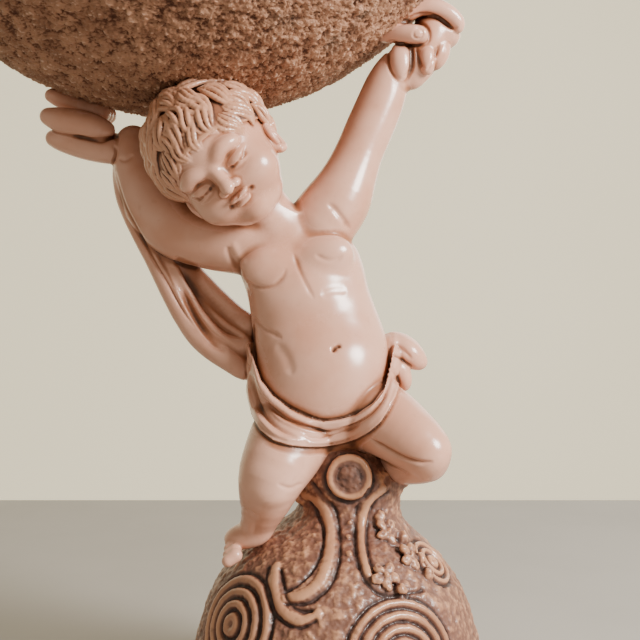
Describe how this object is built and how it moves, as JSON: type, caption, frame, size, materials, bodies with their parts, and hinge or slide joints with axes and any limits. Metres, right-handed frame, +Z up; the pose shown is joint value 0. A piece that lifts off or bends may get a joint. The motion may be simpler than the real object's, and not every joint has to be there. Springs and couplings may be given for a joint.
{
  "type": "bubbling table fountain",
  "caption": "Table fountain: a kneeling cherub on a scrolled mound holds up a rough-backed bowl with a bubbler, over a base that hides a small pump.",
  "frame": {"origin": "centre of the underside of the pad that the base rests on", "axes": "+Z up; the front of the figure faces -Y; +X is to the right of someone who looks at the front"},
  "size_m": [0.3589, 0.3318, 0.4536],
  "materials": {
    "cast_resin_figure": "satin",
    "cast_resin_mound": "satin",
    "cast_resin_base": "satin",
    "cast_resin_bowl": "satin",
    "felt_pad": "matte",
    "black_rubber": "matte",
    "suction_rubber": "satin",
    "black_plastic": "satin",
    "brown_plastic": "satin",
    "brass": "satin",
    "grey_hose": "satin",
    "clear_hose": "gloss",
    "spring_steel": "satin",
    "pump_plastic": "satin",
    "cover_plastic": "satin",
    "dial_plastic": "satin",
    "core_steel": "matte",
    "copper": "gloss",
    "potting_resin": "gloss",
    "ferrite": "matte",
    "impeller_plastic": "satin",
    "shaft_ceramic": "gloss",
    "sponge": "matte"
  },
  "bodies": {
    "root": {"base_pad": "felt_pad", "reservoir_tub": "cast_resin_base", "cable_grommet": "black_rubber", "pedestal_gasket": "black_rubber", "pump_housing": "pump_plastic", "stator_core": "core_steel", "stator_coil": "copper", "motor_potting": "potting_resin", "rotor_shaft": "shaft_ceramic", "front_bush": "black_rubber", "rear_bush": "black_rubber", "pump_volute": "pump_plastic", "chamber_plate": "pump_plastic", "strain_relief": "black_rubber", "suction_feet": "suction_rubber"},
    "fountain_top": {"scroll_pedestal": "cast_resin_mound", "cherub_figure": "cast_resin_figure", "bowl": "cast_resin_bowl", "bowl_bulkhead": "black_plastic", "bulkhead_gasket": "black_rubber", "bulkhead_nut": "black_plastic", "overflow_standpipe": "brown_plastic", "bubbler_nozzle": "brass", "return_hose": "grey_hose", "riser_tube": "clear_hose", "hose_clamp": "spring_steel"},
    "impeller": {"rotor_magnet": "ferrite", "impeller": "impeller_plastic"},
    "intake_cover": {"intake_cover": "cover_plastic", "prefilter_sponge": "sponge"},
    "flow_dial": {"flow_dial": "dial_plastic"}
  },
  "joints": [
    {"name": "pedestal_lift", "type": "slide", "parent": "root", "child": "fountain_top", "axis": [0, 0, 1], "range_m": [0, 0.07]},
    {"name": "impeller_spin", "type": "hinge", "parent": "root", "child": "impeller", "pos_m": [0, 0, 0.038], "axis": [0, 1, 0], "continuous": true},
    {"name": "intake_cover_slide", "type": "slide", "parent": "root", "child": "intake_cover", "axis": [0, -1, 0], "range_m": [0, 0.012]},
    {"name": "flow_dial_turn", "type": "hinge", "parent": "intake_cover", "child": "flow_dial", "pos_m": [0, -0.026, 0.036], "axis": [0, 1, 0], "range_deg": [0, 90]}
  ]
}
